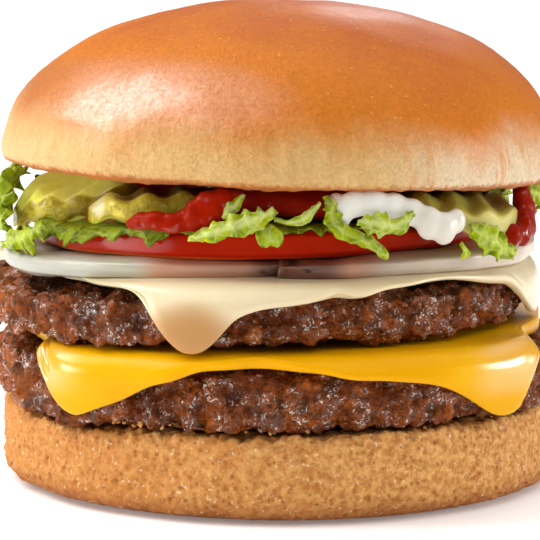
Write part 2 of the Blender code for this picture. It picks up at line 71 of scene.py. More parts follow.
# %% [markdown]
# ## The camera
#
# The photograph is taken from straight ahead and a little above, from half a metre away with a long
# lens, which flattens a stack, so that its layers read as bands. A track quaternion turns the camera
# towards a point near the burger's axis.

# %% Place the camera
CAMERA_AT = Vector((-2.889 * MM, -500 * MM, 102 * MM))
LOOKS_AT = Vector((-2.889 * MM, 0, 38.8 * MM))
LENS = 173.06

bpy.ops.object.camera_add(location=CAMERA_AT)
camera = bpy.context.object
camera.name = "camera"
camera.rotation_euler = (LOOKS_AT - CAMERA_AT).to_track_quat("-Z", "Y").to_euler()
camera.data.lens = LENS
camera.data.sensor_width = 36
camera.data.clip_start = 0.01
bpy.context.scene.camera = camera
bpy.context.scene.view_settings.view_transform = "Standard"
print("camera distance in mm:", round((LOOKS_AT - CAMERA_AT).length / MM))

# %% [markdown]
# ## Writing a material as a recipe
#
# A material is a net of small nodes, and most of them only add, multiply or compare. A wire class
# lets the file write `1 - mask * 0.4` and puts the Math nodes in by itself. Everything else goes
# through one method, `node`, that takes the node's kind, its settings and what feeds its sockets.
# Sizes in a recipe are in millimetres.

# %% Wires and recipes
class Wire:
    """One number on its way through a material."""

    def __init__(self, socket):
        self.socket = socket

    def maths(self, operation, *others):
        tree = self.socket.id_data
        made = tree.nodes.new("ShaderNodeMath")
        made.operation = operation
        for place, value in zip(made.inputs, (self, *others)):
            feed(tree, place, value)
        return Wire(made.outputs[0])

    def __add__(self, other):
        return self.maths("ADD", other)

    def __sub__(self, other):
        return self.maths("SUBTRACT", other)

    def __rsub__(self, other):
        return self.maths("MULTIPLY", -1.0).maths("ADD", other)

    def __mul__(self, other):
        return self.maths("MULTIPLY", other)

    def __truediv__(self, other):
        return self.maths("DIVIDE", other)

    def __pow__(self, other):
        return self.maths("POWER", other)

    __radd__ = __add__


def feed(tree, place, value):
    """Links a wire to a socket, or sets the socket to a plain value."""
    if isinstance(value, Wire):
        tree.links.new(value.socket, place)
    else:
        place.default_value = value


def paint(red, green, blue):
    """A colour given in screen values, 0 to 255 a channel, as the light that it stands for."""
    light = []
    for level in (red / 255, green / 255, blue / 255):
        light.append(level / 12.92 if level < 0.0405 else ((level + 0.055) / 1.055) ** 2.4)
    return (*light, 1.0)


def oval(across, up, middle, size):
    """How far a place is from the middle of an oval patch: 0 there and 1 on the patch's rim."""
    return ((across - middle[0]) / size[0]) ** 2.0 + ((up - middle[1]) / size[1]) ** 2.0


def moist(share, colours, reach, mirror, tint=(1, 1, 1, 1), coat=0.03, **more):
    """The constants of a moist food: how much light goes in, how far each colour gets, and its shine."""
    return {
        "Subsurface Weight": share,
        "Subsurface Radius": colours,
        "Subsurface Scale": reach * MM,
        "Specular IOR Level": mirror,
        "Specular Tint": tint,
        "Coat Roughness": coat,
        **more,
    }


class Net:
    """A net of nodes, to which nodes are added one by one."""

    def __init__(self, tree):
        self.tree = tree

    def node(self, kind, settings=None, sockets=None, out=0):
        """Any node: its settings first, then what its sockets take. Gives one of its outputs."""
        made = self.tree.nodes.new(kind)
        for name, value in (settings or {}).items():
            setattr(made, name, value)
        for name, value in (sockets or {}).items():
            feed(self.tree, made.inputs[name], value)
        return Wire(made.outputs[out])


class Recipe(Net):
    """A material while it is being written."""

    def __init__(self, name, constants):
        self.material = bpy.data.materials.new(name)
        self.material.use_nodes = True
        super().__init__(self.material.node_tree)
        self.shader = self.tree.nodes["Principled BSDF"]
        for socket, value in constants.items():
            self.shader.inputs[socket].default_value = value
        self.here = self.node("ShaderNodeTexCoord", out="Object")

    def axes(self):
        """How far a point is along X, Y and Z, in millimetres."""
        inside = {"Vector": self.here}
        return [self.node("ShaderNodeSeparateXYZ", None, inside, out) * 1000.0 for out in ("X", "Y", "Z")]

    def stretched(self, along_x, along_y, along_z):
        """Places in which a pattern comes out longer along the axes with a number above 1."""
        scale = (1 / along_x, 1 / along_y, 1 / along_z)
        return self.node("ShaderNodeMapping", None, {"Vector": self.here, "Scale": scale})

    def noise(self, size, detail=2.0, rough=0.5, warp=0.0, where=None):
        """Soft blotches about so many millimetres across, from 0 to 1."""
        sockets = {
            "Vector": where or self.here,
            "Scale": 1000.0 / size,
            "Detail": detail,
            "Roughness": rough,
            "Distortion": warp,
        }
        return self.node("ShaderNodeTexNoise", None, sockets)

    def cells(self, size, feature="F1"):
        """Round cells about so many millimetres apart: 0 in their middle, growing outwards."""
        sockets = {"Vector": self.here, "Scale": 1000.0 / size}
        return self.node("ShaderNodeTexVoronoi", {"feature": feature}, sockets)

    def rise(self, value, low, high):
        """0 below one value, 1 above the other, and a smooth slope between them."""
        sockets = {"Value": value, "From Min": low, "From Max": high}
        return self.node("ShaderNodeMapRange", {"interpolation_type": "SMOOTHSTEP"}, sockets)

    def blend(self, share, first, second):
        """From the first colour to the second by a share from 0 to 1. Plain colours are painted."""
        first, second = (c if isinstance(c, Wire) else paint(*c) for c in (first, second))
        sockets = {0: share, 6: first, 7: second}
        return self.node("ShaderNodeMix", {"data_type": "RGBA", "clamp_factor": True}, sockets, 2)

    def shade(self, colour, strength):
        """A colour made lighter or darker by a factor."""
        sockets = {0: colour, "Scale": strength}
        return self.node("ShaderNodeVectorMath", {"operation": "SCALE"}, sockets)

    def serve(self, colour, rough, relief=None, depth=0.1, coat=None):
        """Feeds the shader and hands the material over. The relief's depth is in millimetres."""
        feed(self.tree, self.shader.inputs["Base Color"], colour)
        feed(self.tree, self.shader.inputs["Roughness"], rough)
        if coat is not None:
            feed(self.tree, self.shader.inputs["Coat Weight"], coat)
        if relief is not None:
            bump = self.node("ShaderNodeBump", None, {"Height": relief, "Distance": depth * MM})
            feed(self.tree, self.shader.inputs["Normal"], bump)
        print("recipe:", self.material.name, "with", len(self.tree.nodes), "nodes")
        return self.material


# %% [markdown]
# ## The light
#
# Light from the camera's own side flattens every crumb, so soft boxes stand at the sides. The broad
# gleam on the left of the crown comes from a box up on the left.
# Two low ones, left and right, put the gleams on the corners of the cheese and light the cheeks of
# the bun, and a narrow one behind edges the top. The room is pale overhead and dim towards the
# camera, so that the wet things in the middle keep their full colour.

# %% Light the set
def soft_box(name, direction, distance, width, height, brightness):
    """An area light that looks at the burger from a direction, with its size in metres."""
    place = LOOKS_AT + Vector(direction).normalized() * distance
    bpy.ops.object.light_add(type="AREA", location=place)
    lamp = bpy.context.object
    lamp.name = name
    lamp.rotation_euler = (LOOKS_AT - place).to_track_quat("-Z", "Y").to_euler()
    lamp.data.shape = "RECTANGLE"
    lamp.data.size = width
    lamp.data.size_y = height
    lamp.data.energy = brightness * math.pi * width * height


soft_box("box left high", (-0.71, 0.03, 0.69), 0.6, 0.36, 0.42, 5.0)
soft_box("box left low", (-0.955, -0.17, 0.125), 0.6, 0.20, 0.15, 11.5)
soft_box("box right low", (0.98, -0.05, 0.14), 0.6, 0.18, 0.15, 14)
soft_box("box back", (0.16, 0.90, 0.40), 0.7, 0.20, 0.07, 7)

room = bpy.data.worlds.new("pale room")
room.use_nodes = True
air = Net(room.node_tree)
way = air.node("ShaderNodeTexCoord", out="Generated")
UPWARDS = (0.0, -0.05, 0.999)
overhead = air.node("ShaderNodeVectorMath", {"operation": "DOT_PRODUCT"}, {0: way, 1: UPWARDS}, "Value")
DIM, BRIGHT = 0.24, 1.5
glow = air.node(
    "ShaderNodeMapRange",
    {"interpolation_type": "SMOOTHSTEP"},
    {"Value": overhead, "From Min": 0.34, "From Max": 0.95, "To Min": DIM, "To Max": BRIGHT},
)
feed(room.node_tree, room.node_tree.nodes["Background"].inputs["Strength"], glow)
room.node_tree.nodes["Background"].inputs["Color"].default_value = (1, 1, 1, 1)
bpy.context.scene.world = room

# %% [markdown]
# ## The table
#
# The burger is shown on plain white, so the table is one large pale sheet with a faint mottle. The
# camera looks down on it, so it fills the whole background. It glows a little, which keeps the
# distance white. It belongs to the stage and not to the burger.

# %% Lay the table
bpy.ops.mesh.primitive_plane_add(size=60, location=(0, 0, 0))
table = bpy.context.object
table.name = "table"
sheet = Recipe(
    "white table",
    {"Specular IOR Level": 0.2, "Emission Color": (1, 1, 1, 1), "Emission Strength": 0.15},
)
white_sheet = sheet.blend(sheet.noise(60, detail=3), (252, 252, 251), (255, 255, 255))
table.data.materials.append(sheet.serve(white_sheet, 0.8))
print("table:", tuple(round(v, 2) for v in table.dimensions))

# %% [markdown]
# ## Working on a copy of a solid
#
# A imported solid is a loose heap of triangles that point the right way. A copy has its doubled
# corners merged first and its triangles paired into four-sided faces, because subdivision follows
# four-sided faces smoothly. From then on each modifier is added, set and applied, as by hand.

# %% Helpers for copies
def pick(piece):
    """Makes one object the only selected one."""
    if bpy.context.object and bpy.context.object.mode != "OBJECT":
        bpy.ops.object.mode_set(mode="OBJECT")
    bpy.ops.object.select_all(action="DESELECT")
    piece.hide_set(False)
    piece.select_set(True)
    bpy.context.view_layer.objects.active = piece


def copy_of(node, name):
    """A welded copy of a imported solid, in four-sided faces where they fit."""
    pick(frame["nodes"][node])
    bpy.ops.object.duplicate()
    piece = bpy.context.object
    bpy.ops.object.parent_clear(type="CLEAR_KEEP_TRANSFORM")
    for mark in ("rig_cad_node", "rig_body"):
        del piece[mark]
    piece.name = name
    piece.data.materials.clear()
    bpy.ops.mesh.customdata_custom_splitnormals_clear()
    flat_enough = math.radians(50)
    edit_all(piece)
    bpy.ops.mesh.remove_doubles(threshold=0.02 * MM)
    bpy.ops.mesh.tris_convert_to_quads(face_threshold=flat_enough, shape_threshold=flat_enough)
    bpy.ops.object.mode_set(mode="OBJECT")
    return piece


def edit_all(piece):
    """Opens a piece in edit mode with all of it selected."""
    pick(piece)
    bpy.ops.object.mode_set(mode="EDIT")
    bpy.ops.mesh.select_all(action="SELECT")


def apply(piece, kind, **settings):
    """Adds a modifier, sets it and applies it."""
    pick(piece)
    added = piece.modifiers.new(kind, kind)
    for setting, value in settings.items():
        setattr(added, setting, value)
    bpy.ops.object.modifier_apply(modifier=added.name)


def hold_edges(piece, angle, hold):
    """Creases the edges that turn more than an angle, so that subdivision keeps them."""
    pick(piece)
    bpy.ops.object.mode_set(mode="EDIT")
    bpy.ops.mesh.select_mode(type="EDGE")
    bpy.ops.mesh.select_all(action="DESELECT")
    bpy.ops.mesh.edges_select_sharp(sharpness=math.radians(angle))
    bpy.ops.transform.edge_crease(value=hold)
    bpy.ops.object.mode_set(mode="OBJECT")


def subdivide(piece, levels, angle=35, hold=0.0):
    """Rounds a piece off without shrinking it. The edges sharper than an angle may be held.

    Subdivision pulls a rim inwards, so each corner is first moved outwards by what it would lose,
    in a few careful steps and never far.
    """
    farthest, step = 0.8 * MM, 0.8
    if hold:
        hold_edges(piece, angle, hold)
    corners = piece.data.vertices
    goal = [corner.co.copy() for corner in corners]
    added = piece.modifiers.new("fit", "SUBSURF")
    added.levels = added.render_levels = 1
    for _ in range(3):
        bpy.context.view_layer.update()
        rounded = piece.evaluated_get(bpy.context.evaluated_depsgraph_get()).data.vertices
        lost = [aim - rounded[index].co for index, aim in enumerate(goal)]
        for corner, aim, way in zip(corners, goal, lost):
            moved = corner.co + way * step - aim
            corner.co = aim + moved * min(1.0, farthest / max(moved.length, 1e-9))
    piece.modifiers.remove(added)
    apply(piece, "SUBSURF", levels=levels, render_levels=levels)


def remesh(piece, voxel, smoothing=2):
    """Even little quads all over, for a surface that gets deep relief."""
    apply(piece, "REMESH", mode="VOXEL", voxel_size=voxel * MM)
    if smoothing:
        apply(piece, "SMOOTH", factor=0.5, iterations=smoothing)


def roughen(piece, size, depth, fine=1, middle=0.5, group="", stretch=None, kind="CLOUDS", **settings):
    """Pushes the surface in and out by a noise. Size and depth are in millimetres."""
    texture = bpy.data.textures.new(piece.name + " " + kind.lower(), kind)
    texture.noise_scale = size * MM
    if kind == "CLOUDS":
        texture.noise_depth = fine
    for setting, value in settings.items():
        setattr(texture, setting, value)
    how = {"texture": texture, "strength": depth * MM, "mid_level": middle, "vertex_group": group}
    if stretch is None:
        apply(piece, "DISPLACE", texture_coords="LOCAL", **how)
        return
    bpy.ops.object.empty_add(location=(0, 0, 0))
    ruler = bpy.context.object
    ruler.scale = stretch
    bpy.context.view_layer.update()
    apply(piece, "DISPLACE", texture_coords="OBJECT", texture_coords_object=ruler, **how)
    bpy.data.objects.remove(ruler)


def weigh(piece, name, weight):
    """A vertex group with a weight for each corner, from its place in millimetres."""
    group = piece.vertex_groups.new(name=name)
    for corner in piece.data.vertices:
        group.add([corner.index], weight(*(corner.co / MM)), "REPLACE")
    return name


def close_hidden(piece, hidden):
    """Melts the little faces that nothing sees into one flat lid, from their middle and normal."""
    pick(piece)
    for face in piece.data.polygons:
        face.select = hidden(face.center / MM, face.normal)
    bpy.ops.object.mode_set(mode="EDIT")
    bpy.ops.mesh.select_mode(type="FACE")
    bpy.ops.mesh.dissolve_faces()
    bpy.ops.object.mode_set(mode="OBJECT")


def join(pieces, name):
    """One piece from many, with their places, turns and sizes worked into its mesh."""
    bpy.ops.object.select_all(action="DESELECT")
    for piece in pieces:
        piece.select_set(True)
    bpy.context.view_layer.objects.active = pieces[0]
    bpy.ops.object.transform_apply(location=True, rotation=True, scale=True)
    bpy.ops.object.join()
    joined = bpy.context.object
    joined.name = name
    return joined


def serve_piece(piece, material, slot, *nodes):
    """Smooth shading, the material, and the piece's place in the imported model."""
    pick(piece)
    bpy.ops.object.shade_smooth()
    piece.vertex_groups.clear()
    piece.data.materials.append(material)
    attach(piece, "root")
    if nodes:
        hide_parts(*nodes)
    triangles = sum(len(face.vertices) - 2 for face in piece.data.polygons)
    print("piece:", piece.name, "triangles:", triangles)


def climb(value, low, high):
    """The same smooth slope as in a recipe, for numbers."""
    share = min(max((value - low) / (high - low), 0.0), 1.0)
    return share * share * (3 - 2 * share)


# %% [markdown]
# ## The crown of the bun
#
# A soft wheat bun is brushed before it is baked. Where the heat reaches it the crust turns a warm
# orange brown and takes a satin shine. The band just above the cut stays pale, because
# it touched its neighbours in the tray, and it is drawn into fine upright folds where it was pulled
# apart. The dome is subdivided, so that its gleam stays clean, and the folds and shallow dents are
# pushed in with stretched noise. The grain of the skin is under half a millimetre deep and goes into
# the bump. The left cheek is pushed out a little, and the left shoulder down.

# %% Model the crown
CHEEK_BULGE, LEFT_DIP = 0.9, 0.45
HEM_SLOPE = 0.036

crown = copy_of("crown", "bun_crown")
subdivide(crown, 3, angle=42, hold=0.7)
for corner in crown.data.vertices:
    x, y, z = corner.co / MM
    full = (1 - climb(z, 61, 69)) * climb(-x, 25, 50)
    corner.co += Vector((x, y, 0)).normalized() * full * CHEEK_BULGE * MM
    corner.co.z -= LEFT_DIP * climb(z, 66, 84) * (1 - climb(x, -6, 16)) * MM
roughen(crown, 17, 0.9)
cheek = weigh(crown, "cheek", lambda x, y, z: (1 - climb(z, 64, 76)) * (0.55 + 0.45 * climb(x, 10, 30)))
roughen(crown, 2.8, 1.0, group=cheek, stretch=(1, 1, 9))
roughen(crown, 1.1, 0.14)
hem = weigh(crown, "hem", lambda x, y, z: 1 - climb(z + HEM_SLOPE * x, 59.2, 60.6))
roughen(crown, 1.5, 0.6, 2, group=hem)

# %% [markdown]
# The colour follows the height, with a wandering edge, from the pale band to the baked top. Small
# blotches and paler flecks break it up, and the cut edge is toasted. The crust is glossiest in a
# broad patch at the left, where the high box is mirrored, and in a small one near the top.

# %% Bake the crust
PALE_TO, BAKED_FROM = 61.5, 73.5
GLEAM_AT, GLEAM_SIZE = (-26.5, 74.0), (26.0, 7.2)
GLINT_AT, GLINT_SIZE = (18.0, 90.0), (13.0, 3.4)

crust = Recipe(
    "baked crust",
    moist(0.08, (1, 0.2, 0.1), 2, 0.32, (1, 0.55, 0.15, 1), 0.26, **{"Coat IOR": 2.0}),
)
x, y, z = crust.axes()
blotch = crust.noise(15, detail=3, rough=0.55)
level = z + x * 0.05 + (blotch - 0.5) * 12
baked = crust.rise(level, PALE_TO, BAKED_FROM)
deep = crust.rise(level + (crust.noise(30) - 0.5) * 20 + x * 0.12, 76, 96)
folds = crust.noise(2.4, detail=2, where=crust.stretched(1, 1, 7))
grain = crust.noise(1.0, detail=3, rough=0.6, warp=0.6)
pale = crust.blend(folds, (192, 148, 88), (224, 186, 128))
pale = crust.blend(crust.rise(x, 12, 34) * 0.8, pale, (218, 200, 172))
pale = crust.blend((1 - crust.rise(x, -48, -20)) * 0.5, pale, (222, 180, 128))
streak = crust.rise(crust.noise(1.7, detail=2, where=crust.stretched(1, 1, 9)), 0.56, 0.70)
streak = streak * crust.rise(x, 10, 34) * (1 - crust.rise(z, 62, 70))
pale = crust.blend(streak * 0.7, pale, (206, 130, 62))
brown = crust.blend(deep, (198, 108, 12), (174, 78, 16))
colour = crust.blend(baked, pale, brown)
fleck = 1 - crust.rise(crust.cells(2.2), 0.05, 0.16)
colour = crust.blend(fleck * 0.35, colour, (240, 182, 92))
fine_grain = crust.noise(0.55, detail=2, rough=0.7)
mottle = crust.rise(grain, 0.32, 0.68) * 0.15 + crust.rise(fine_grain, 0.32, 0.68) * 0.13
colour = crust.shade(colour, mottle + 0.86)
hem_mask = 1 - crust.rise(z + x * HEM_SLOPE + (grain - 0.5) * 1.6, 59.5, 60.7)
colour = crust.blend(hem_mask * 0.85, colour, (176, 92, 34))
gleam = 1 - crust.rise(oval(x, z, GLEAM_AT, GLEAM_SIZE) + (blotch - 0.5) * 0.8, 0.3, 1.5)
gleam = gleam * crust.rise(y * -1.0, -10, 20)
glint = 1 - crust.rise(oval(x, z, GLINT_AT, GLINT_SIZE), 0.2, 1.4)
skin = crust.rise(grain * 0.5 + fine_grain * 0.5, 0.36, 0.60)
bun_crust = crust.serve(
    colour,
    0.46 + grain * 0.10 + hem_mask * 0.3 - gleam * 0.2,
    grain + fine_grain * 0.5,
    depth=0.3,
    coat=baked * 0.05 + gleam * (skin * 0.5 + 0.4) + glint * skin * 0.35 + 0.01,
)
serve_piece(crown, bun_crust, "bun_crust", "crown")

# %% [markdown]
# ## The heel of the bun
#
# The lower half shows its crumb all round, so its side is a sponge of small pores. A voxel remesh
# gives even little faces, which take the pores as real hollows: a wide noise makes the side uneven,
# cells make the pores and a fine noise the crumb between them. The foot swells a little, most at the
# left, and the ledge at the top is rough. The flat top and bottom are hidden and melted into lids.

# %% Model the heel
FOOT_SWELL = 1.1
LEDGE_FROM, LEDGE_FULL = 13, 15.5
TOP_LID, FOOT_LID = 46, 41

heel = copy_of("heel", "bun_heel")
subdivide(heel, 2, angle=42, hold=0.4)
remesh(heel, 0.5)
bare = weigh(heel, "bare", lambda x, y, z: climb(z, 0.2, 1.6))
roughen(heel, 11, 0.8, group=bare)
roughen(heel, 1.5, 0.75, middle=0.3, group=bare, kind="VORONOI")
roughen(heel, 1.0, 0.7, 2, group=bare)
for corner in heel.data.vertices:
    x, y, z = corner.co / MM
    full = climb(z, -1, 2) * (1 - climb(z, 2.5, 7)) * (0.6 + 0.6 * climb(-x, -10, 40))
    full *= climb(math.hypot(x, y), 40, 50)
    corner.co += Vector((x, y, 0)).normalized() * full * FOOT_SWELL * MM
ledge = weigh(heel, "ledge", lambda x, y, z: climb(z, LEDGE_FROM, LEDGE_FULL))
roughen(heel, 2.4, 1.5, 2, group=ledge)
close_hidden(heel, lambda at, normal: math.hypot(at.x, at.y) < (TOP_LID if at.z > 8 else FOOT_LID))

# %% [markdown]
# The crumb is paler where its relief is high, partly its own tone and partly painted light, and its
# pores are painted dark, as shade. Small pale flecks on it are painted highlights. It darkens
# towards the bottom, where it lay on the hot plate.

# %% Toast the crumb
crumb = Recipe("toasted crumb", moist(0.1, (1, 0.2, 0.1), 2, 0.12))
x, y, z = crumb.axes()
sponge = crumb.noise(1.3, detail=4, rough=0.65)
pore = (1 - crumb.rise(crumb.cells(1.3), 0.10, 0.42)) * crumb.rise(crumb.noise(4, detail=2), 0.34, 0.58)
wide = crumb.noise(12, detail=3)
# Paler where the relief is high: partly the crumb's own tone, partly painted light on its ridges.
colour = crumb.blend(crumb.rise(sponge, 0.25, 0.7), (186, 112, 50), (240, 182, 108))
colour = crumb.blend(crumb.rise(wide - x / 160.0, 0.40, 0.75) * 0.6, colour, (204, 132, 62))
# Painted shade in the pores.
colour = crumb.blend(pore * 0.55, colour, (158, 82, 28))
colour = crumb.blend((1 - crumb.rise(z + wide * 5, 2.0, 9.0)) * 0.85, colour, (150, 80, 30))
colour = crumb.shade(colour, 0.9)
# Painted highlights: small pale flecks.
colour = crumb.blend(crumb.rise(crumb.noise(0.9, detail=2), 0.62, 0.75) * 0.5, colour, (255, 236, 196))
toasted_crumb = crumb.serve(colour, 0.55 + pore * 0.2, sponge - pore * 0.5, depth=0.35)
serve_piece(heel, toasted_crumb, "toasted_bread", "heel")

# %% [markdown]
# ## The two patties
#
# Minced beef holds together as lumps of one to five millimetres, with cracks between them, and it
# shrinks unevenly on the grill. Five noises make that: wide swells, the lumps as cells of three
# sizes, and the fine grain of the meat. Fat and juice keep it wet, so a clear coat lies over it in
# patches, and small pale specks are painted there as glints of light.

# %% Model the patties
COVERED_RADIUS = 42


def grill(node, name, shift):
    """A patty with crags and lumps. Its covered middle, so far to the right, is flat."""
    patty = copy_of(node, name)
    subdivide(patty, 2)
    remesh(patty, 0.46)
    roughen(patty, 9, 3.0, 2, middle=0.55)
    roughen(patty, 5.0, -2.7, middle=0.16, distance_metric="DISTANCE_SQUARED", kind="VORONOI")
    roughen(patty, 2.6, -1.0, middle=0.34, kind="VORONOI")
    roughen(patty, 1.3, 1.0, 2)
    roughen(patty, 1.1, -0.6, middle=0.42, kind="VORONOI")
    close_hidden(patty, lambda at, normal: math.hypot(at.x - shift, at.y) < COVERED_RADIUS)
    return patty


upper_patty = grill("patty_top", "upper_patty", -5.8)
lower_patty = grill("patty_bottom", "lower_patty", 0)

# %% Sear the beef
beef = Recipe(
    "seared beef",
    moist(0, (1, 0.2, 0.1), 50, 0.35, (1, 0.55, 0.28, 1), 0.08, **{"Coat IOR": 1.6}),
)
x, y, z = beef.axes()
swell = beef.noise(8, detail=3, rough=0.6)
lump = beef.cells(2.6)
fibre = beef.noise(0.8, detail=4, rough=0.7, warp=0.5)
colour = beef.blend(beef.rise(fibre, 0.30, 0.70), (72, 28, 8), (162, 80, 24))
colour = beef.blend(beef.rise(swell, 0.42, 0.66) * 0.6, colour, (92, 36, 14))
colour = beef.blend(beef.rise(beef.noise(4, detail=2), 0.58, 0.72) * 0.6, colour, (194, 104, 34))
colour = beef.blend(beef.rise(x * -1.0, 44, 54) * 0.5, colour, (184, 98, 38))
# Painted shade: the cracks between the lumps are made dark.
colour = beef.blend(beef.rise(lump, 0.45, 0.8) * 0.6, colour, (44, 16, 8))
wet = beef.rise(beef.noise(3.0, detail=3, rough=0.6), 0.42, 0.62)
grain = beef.noise(0.62, detail=3, rough=0.65, warp=0.8)
# Painted highlights: pale glints in the wet patches, put into the base colour.
sparkle = beef.rise(beef.noise(0.85, detail=1, warp=1.4), 0.60, 0.67) * wet
colour = beef.blend(sparkle * 0.85, colour, (238, 224, 212))
seared_beef = beef.serve(colour, 0.5 - wet * 0.28, fibre * 0.6 + grain, depth=0.55, coat=wet * 0.5)
serve_piece(upper_patty, seared_beef, "grilled_beef", "patty_top")
serve_piece(lower_patty, seared_beef, "grilled_beef", "patty_bottom")

# %% [markdown]
# ## The two slices of cheese
#
# A slice of melting cheese has no detail but its form: it hangs in soft folds over the beef, with
# round edges and a wet shine. The copies are subdivided and sag a little.
# The hem of the white slice is drawn up on both sides of its drop, and the drop is made narrower.
# Light goes some way into cheese, so both have subsurface scattering.

# %% Model the slices
DROP_AXIS = -16.3
LEFT_HEM, RIGHT_HEM = 42.2, 43.6
DRAWN_LEFT, DRAWN_RIGHT = 0.62, 0.5
DROP_NARROWER, DROP_SHORTER = 0.25, 1.1


def melt(node, name):
    """A smooth slice that sags a little."""
    slice_ = copy_of(node, name)
    subdivide(slice_, 2, angle=40, hold=0.55)
    apply(slice_, "SMOOTH", factor=0.5, iterations=3)
    roughen(slice_, 14, 0.5, 0)
    return slice_


yellow_slice = melt("cheese_yellow", "yellow_slice")
white_slice = melt("cheese_white", "white_slice")
for corner in white_slice.data.vertices:
    x, y, z = corner.co / MM
    at_left = (1 - climb(x, -33, -26)) * (1 - climb(y, -8, 8))
    corner.co.z += DRAWN_LEFT * at_left * min(max(LEFT_HEM - z, 0.0), 12.0) * MM
    front = 1 - climb(y, -30, -8)
    at_right = climb(x, 9, 18) * (1 - climb(x, 28, 40)) * front
    corner.co.z += DRAWN_RIGHT * at_right * min(max(RIGHT_HEM - z, 0.0), 6.0) * MM
    from_axis = x - DROP_AXIS
    hanging = (1 - climb(z, 40.0, 43.0)) * (1 - climb(abs(from_axis), 15, 24)) * front
    corner.co.x -= DROP_NARROWER * hanging * from_axis * MM
    corner.co.z += DROP_SHORTER * hanging * (1 - climb(z, 30, 36)) * MM

# %% Colour the yellow slice
yellow = Recipe(
    "yellow cheese",
    moist(0.25, (1, 0.55, 0.1), 3, 0.2, (1, 0.6, 0.05, 1), 0.2, **{"Coat IOR": 2.0}),
)
clouds = yellow.noise(11, detail=2)
x, y, z = yellow.axes()
colour = yellow.blend(clouds, (227, 154, 0), (238, 180, 0))
gleam = yellow.rise(((x + 2.0) / 36.0) ** 2.0, 0.85, 1.3) * yellow.rise(z, 20.5, 24.5)
gleam = gleam * yellow.rise(y * -1.0, 26, 36)
oil = yellow.noise(3, detail=2)
film = oil + yellow.noise(0.8) * 0.15
coat = 0.02 + oil * 0.05 + gleam * 0.8
yellow_cheese = yellow.serve(colour, 0.30 + oil * 0.1, film, depth=0.05, coat=coat)
serve_piece(yellow_slice, yellow_cheese, "yellow_cheese", "cheese_yellow")

# %% Colour the white slice
DROP_AT, DROP_SIZE = (-17.0, 33.8), (7.0, 4.6)

white = Recipe("white cheese", moist(0.3, (1, 0.7, 0.4), 3, 0.5, coat=0.12))
x, y, z = white.axes()
clouds = white.noise(9, detail=2)
colour = white.blend(clouds, (222, 200, 156), (234, 218, 182))
# The tan in the middle of the drop is painted, for the beef seen through the thin cheese.
drop = 1 - white.rise(oval(x, z, DROP_AT, DROP_SIZE), 0.1, 2.4)
front = white.rise(y * -1.0, 30, 40)
colour = white.blend(drop * front * 0.95, colour, (182, 124, 40))
oil = white.noise(3, detail=2)
film = oil + white.noise(0.8) * 0.15
white_cheese = white.serve(colour, 0.32 + oil * 0.1, film, depth=0.05, coat=0.25 + oil * 0.3)
serve_piece(white_slice, white_cheese, "white_cheese", "cheese_white")

# %% [markdown]
# ## The onion
#
# Two cuts of raw onion lie under the tomato. Onion is built of wet, nearly clear layers, so it
# takes the colour of what is behind it: pale at both ends, and rosy brown in the middle, painted
# as the beef showing through and as the tomato's shade, with painted dark shade at its very middle.
# Fine lines run along the layers.

# %% Model and colour the onion
def slice_onion(node, name, side):
    """A finer half moon of onion. Its end is drawn out to the other's, and its underside down."""
    onion = copy_of(node, name)
    subdivide(onion, 3, angle=35, hold=0.5)
    for corner in onion.data.vertices:
        x = corner.co.x / MM
        near = (1 - climb(x, 3.0, 7.0)) if side > 0 else climb(x, -6.0, -1.0)
        corner.co.x -= side * near * 2.2 * MM
        if corner.normal.z < -0.3:
            corner.co.z -= 0.9 * MM
    roughen(onion, 9, 0.6, middle=0.35)
    roughen(onion, 1.6, 0.12, stretch=(8, 8, 1))
    return onion


layers = Recipe("raw onion", moist(0.4, (1, 0.8, 0.6), 3, 0.5, coat=0.08))
x, y, z = layers.axes()
lines = layers.noise(1.1, detail=2, where=layers.stretched(10, 10, 1))
clear = layers.noise(8, detail=3)
colour = layers.blend(lines, (160, 156, 140), (184, 181, 168))
colour = layers.blend(layers.rise(x, 11, 22) * 0.6, colour, (222, 202, 180))
colour = layers.blend(layers.rise(clear, 0.5, 0.75) * 0.35, colour, (186, 190, 130))
# Rosy brown in the middle: partly the beef seen through the onion, partly painted shade under the tomato.
rosy = layers.rise(x + (clear - 0.5) * 6, -28, -20) * (1 - layers.rise(x, 11, 20) * 0.85)
colour = layers.blend(rosy * layers.rise(y * -1.0, 0, 20) * 0.85, colour, (196, 134, 102))
# Painted shade: darkest at the very middle, under the tomato.
murk = 1 - layers.rise(((x - 2.0) / 9.0) ** 2.0, 0.2, 1.2)
colour = layers.blend(murk * rosy * 0.85, colour, (84, 34, 20))
raw_onion = layers.serve(colour, 0.30 + clear * 0.12, lines, depth=0.04, coat=0.25)
for node, name, side in (("onion_left", "left_onion", -1), ("onion_right", "right_onion", 1)):
    serve_piece(slice_onion(node, name, side), raw_onion, "raw_onion", node)

# %% [markdown]
# ## The tomato
#
# Only the skin of one thick slice shows: a tight, deep red band with a strong shine, and a thin
# orange line where the knife cut it.

# %% Model and colour the tomato
SHINE_AT, SHINE_SIZE = (-27.0, 48.6), (7.0, 2.0)

